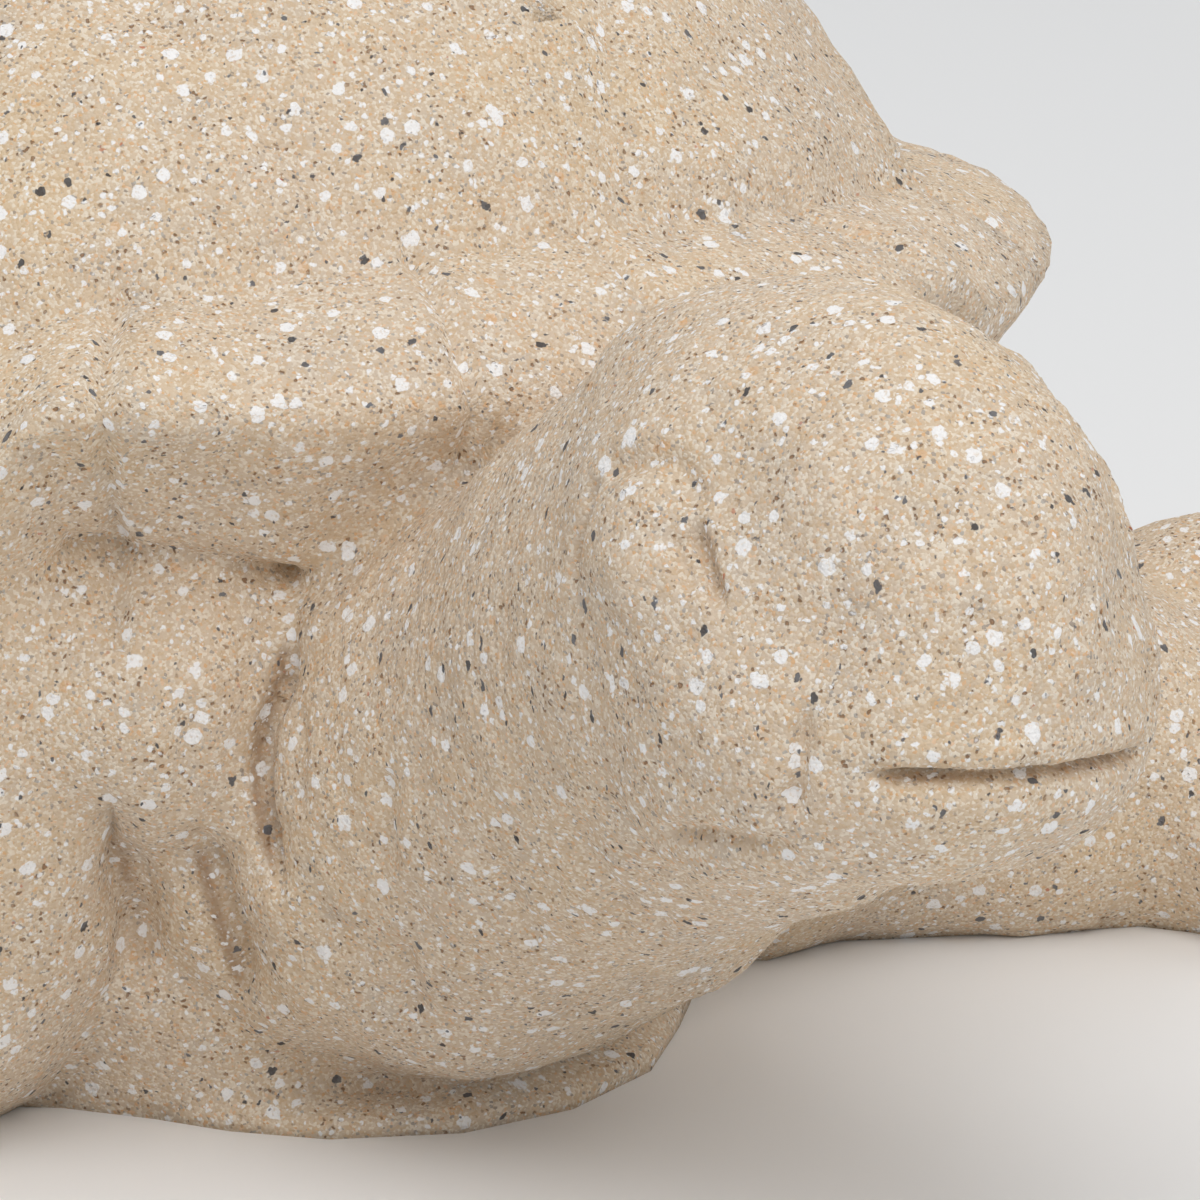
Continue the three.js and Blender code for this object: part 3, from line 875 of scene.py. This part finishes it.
def sandColour(wire, place, wobble, patch, grainColour):
    # patches of tone, then grains, painted shade in the furrows and pits, and chips laid over
    # them; also the cover of the white chips and of the pits
    broad = cloud(wire, place, sand["warmPatch"], 3)
    colour = mixed(sand["base"], sand["warm"], ((broad - 0.42) * 3.2).held())
    colour = mixed(colour, sand["grey"], ((patch - 0.5) * 3).held())
    first, second, third = parts(grainColour)
    colour = mixed(colour, sand["cream"], ((0.34 - first) * 8).held() * 0.6)
    colour = mixed(colour, sand["tan"], ((first - 0.68) * 8).held() * 0.55)
    colour = mixed(colour, sand["slate"], (second < 0.045) * 0.5)
    colour = mixed(colour, sand["orange"], (third < 0.06) * 0.5)
    # painted shade: carved folds, creases and seams darkened towards brown, as shade falls in them
    creaseShade = wire.node("ShaderNodeAttribute", {"attribute_name": "creaseShade"}, {}, "Fac")
    colour = mixed(colour, sand["shadedPit"], creaseShade * sand["creaseShadeShare"])

    # painted shade: small pits coloured dark brown as the shade between grains; the same pits sink a
    # little in the bump
    pore, poreColour = cells(wire, wobble, pits["size"], pits["shift"])
    poreShare, _, _ = parts(poreColour)
    shadedPit = ((pits["reach"] - pore) * pits["edge"]).held() * (poreShare < pits["share"])
    shadedPit = shadedPit * ((patch - pits["patchFrom"]) * pits["patchGain"]).held()
    colour = mixed(colour, sand["shadedPit"], shadedPit * 0.85)
    ochre, ochreShade = chips(wire, wobble, "ochre")
    colour = mixed(colour, sand["orange"], ochre * ochreShade * 0.5)
    rust, rustShade = chips(wire, wobble, "rust")
    colour = mixed(colour, sand["rust"], rust * rustShade * 0.8)

    specks, _ = chips(wire, wobble, "specks")
    smallWhite, _ = chips(wire, wobble, "smallWhite")
    bigWhite, _ = chips(wire, wobble, "bigWhite")
    white = wire.math("MAXIMUM", wire.math("MAXIMUM", specks * 0.75, smallWhite), bigWhite)
    mottle = 1 - ((cloud(wire, place, 0.45, 1) - 0.56) * 7).held() * 0.55
    colour = mixed(colour, sand["pale"], white * mottle * 0.9)
    slivers = vectors(wire, "MULTIPLY", wobble, sand["sliver"])
    smallDark, smallShade = chips(wire, slivers, "smallDark")
    bigDark, _ = chips(wire, slivers, "bigDark")
    dark = wire.math("MAXIMUM", smallDark, bigDark)
    darkColour = mixed(sand["dark"], sand["slate"], smallShade * 0.7)
    return mixed(colour, darkColour, dark * 0.9), white, shadedPit


def sandHeight(wire, place, away, white, shadedPit):
    # heights in metres: round grains, chips standing a little proud, pits, uneven lumps, and the
    # sine of the distance along the head for the streaks behind the cheek
    height = (0.75 - away) * (sand["grainRise"] * millimetre)
    height = height + white * (sand["chipRise"] * millimetre)
    height = height - shadedPit * (sand["pitDepth"] * millimetre)
    height = height + cloud(wire, place, sand["cloudSize"], 3) * (sand["cloudRise"] * millimetre)
    along = vectors(wire, "DOT_PRODUCT", place, tuple(headAhead))
    sway = cloud(wire, place, sand["streakWave"], 2) * sand["streakSway"]
    wave = along * (2 * math.pi / (sand["streakWidth"] * millimetre)) + sway
    streaked = wire.node("ShaderNodeAttribute", {"attribute_name": "streaks"}, {}, "Fac")
    return height + wire.math("SINE", wave) * streaked * (sand["streakRise"] * millimetre)


def cloud(wire, place, size, detail, output="Fac"):
    # noise with lumps of a given size in millimetres
    sockets = {"Vector": place, "Scale": 1 / (size * millimetre), "Detail": detail}
    return wire.node("ShaderNodeTexNoise", {}, sockets, output)


def sandMaterial():
    # bonded sand: colour and height from the same grains and chips, no shine
    material = bpy.data.materials.new("bondedSand")
    material.use_nodes = True
    material.node_tree.nodes.clear()
    wire = Wire(material.node_tree)
    place = wire.node("ShaderNodeTexCoord", {}, {}, "Object")
    swirl = cloud(wire, place, 1.0, 2, "Color")
    wobble = vectors(wire, "MULTIPLY_ADD", swirl, (sand["wobble"],) * 3, place)
    patch = cloud(wire, place, sand["greyPatch"], 4)
    away, grainColour = cells(wire, place, sand["grain"])
    colour, white, shadedPit = sandColour(wire, place, wobble, patch, grainColour)
    height = sandHeight(wire, place, away, white, shadedPit)
    bumped = wire.node("ShaderNodeBump", {}, {"Strength": 1.0, "Distance": 1.0, "Height": height})
    surface = wire.node("ShaderNodeBsdfPrincipled", {}, {
        "Base Color": colour, "Roughness": sand["roughness"], "Normal": bumped,
        "Specular IOR Level": sand["specular"],
    })
    wire.node("ShaderNodeOutputMaterial", {}, {"Surface": surface}, None)
    return material


stage = {
    "floor": 3.0, "floorColour": (0.86, 0.86, 0.86, 1), "roughness": 0.9,
    "world": 0.36, "sky": (0.97, 0.985, 1, 1),
}
camera = {
    "azimuth": math.radians(-31), "elevation": math.radians(17), "distance": 733,
    "lens": 200, "aimAside": 28.6, "aimBelow": 3.3,
}
lamps = [
    # name, direction as azimuth and elevation in degrees, distance, side, watts
    ("keyLight", -50, 66, 1.6, 1.3, 9.1),
    ("frontLight", -8, 42, 1.8, 1.0, 7.5),
    ("rightLight", 60, 40, 1.8, 1.4, 4.5),
    ("backLight", 165, 45, 1.8, 1.4, 5.5),
]


def placeCamera(offset):
    # back from the head's centre by the distance, then aside and down by the aim
    toward = direction(camera["azimuth"], camera["elevation"])
    right = Vector((math.cos(camera["azimuth"]), math.sin(camera["azimuth"]), 0))
    up = toward.cross(right)
    aim = Vector(head["centre"]) + Vector(offset)
    place = (aim + camera["distance"] * toward - camera["aimAside"] * right
             - camera["aimBelow"] * up) * millimetre
    data = bpy.data.cameras.new("camera")
    data.sensor_width = 36
    data.lens = camera["lens"]
    viewer = bpy.data.objects.new("camera", data)
    bpy.context.scene.collection.objects.link(viewer)
    viewer.matrix_world = Matrix.Translation(place) @ Matrix((right, up, toward)).transposed().to_4x4()
    bpy.context.scene.camera = viewer


def placeLamp(name, azimuth, elevation, distance, side, watts):
    # a round soft light facing the origin
    data = bpy.data.lights.new(name, "AREA")
    data.shape = "DISK"
    data.size = side
    data.energy = watts
    lamp = bpy.data.objects.new(name, data)
    bpy.context.scene.collection.objects.link(lamp)
    toward = direction(math.radians(azimuth), math.radians(elevation))
    lamp.location = toward * distance
    lamp.rotation_euler = toward.to_track_quat("Z", "Y").to_euler()


def plainMaterial(name, colour):
    # one matt colour
    material = bpy.data.materials.new(name)
    material.use_nodes = True
    surface = material.node_tree.nodes["Principled BSDF"]
    surface.inputs["Base Color"].default_value = colour
    surface.inputs["Roughness"].default_value = stage["roughness"]
    return material


def placeFloor():
    # a flat square at height 0
    reach = stage["floor"]
    corners = np.array([(-reach, -reach, 0), (reach, -reach, 0), (reach, reach, 0), (-reach, reach, 0)])
    floor = pieceFrom("floor", meshFrom("floor", corners, [np.array([[0, 1, 2, 3]])]))
    floor.data.materials.append(plainMaterial("paleFloor", stage["floorColour"]))


def lightWorld():
    # an even pale sky
    world = bpy.data.worlds.new("studio")
    world.use_nodes = True
    sky = world.node_tree.nodes["Background"]
    sky.inputs["Color"].default_value = stage["sky"]
    sky.inputs["Strength"].default_value = stage["world"]
    bpy.context.scene.world = world


turtle, offset = carveTurtle()
turtle.data.materials.clear()
turtle.data.materials.append(sandMaterial())
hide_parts("turtle")
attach(turtle, "root")
print("finished in sand")

placeCamera(offset)
placeFloor()
lightWorld()
for lamp in lamps:
    placeLamp(*lamp)
bpy.context.scene.view_settings.view_transform = "Standard"
print("stage set")
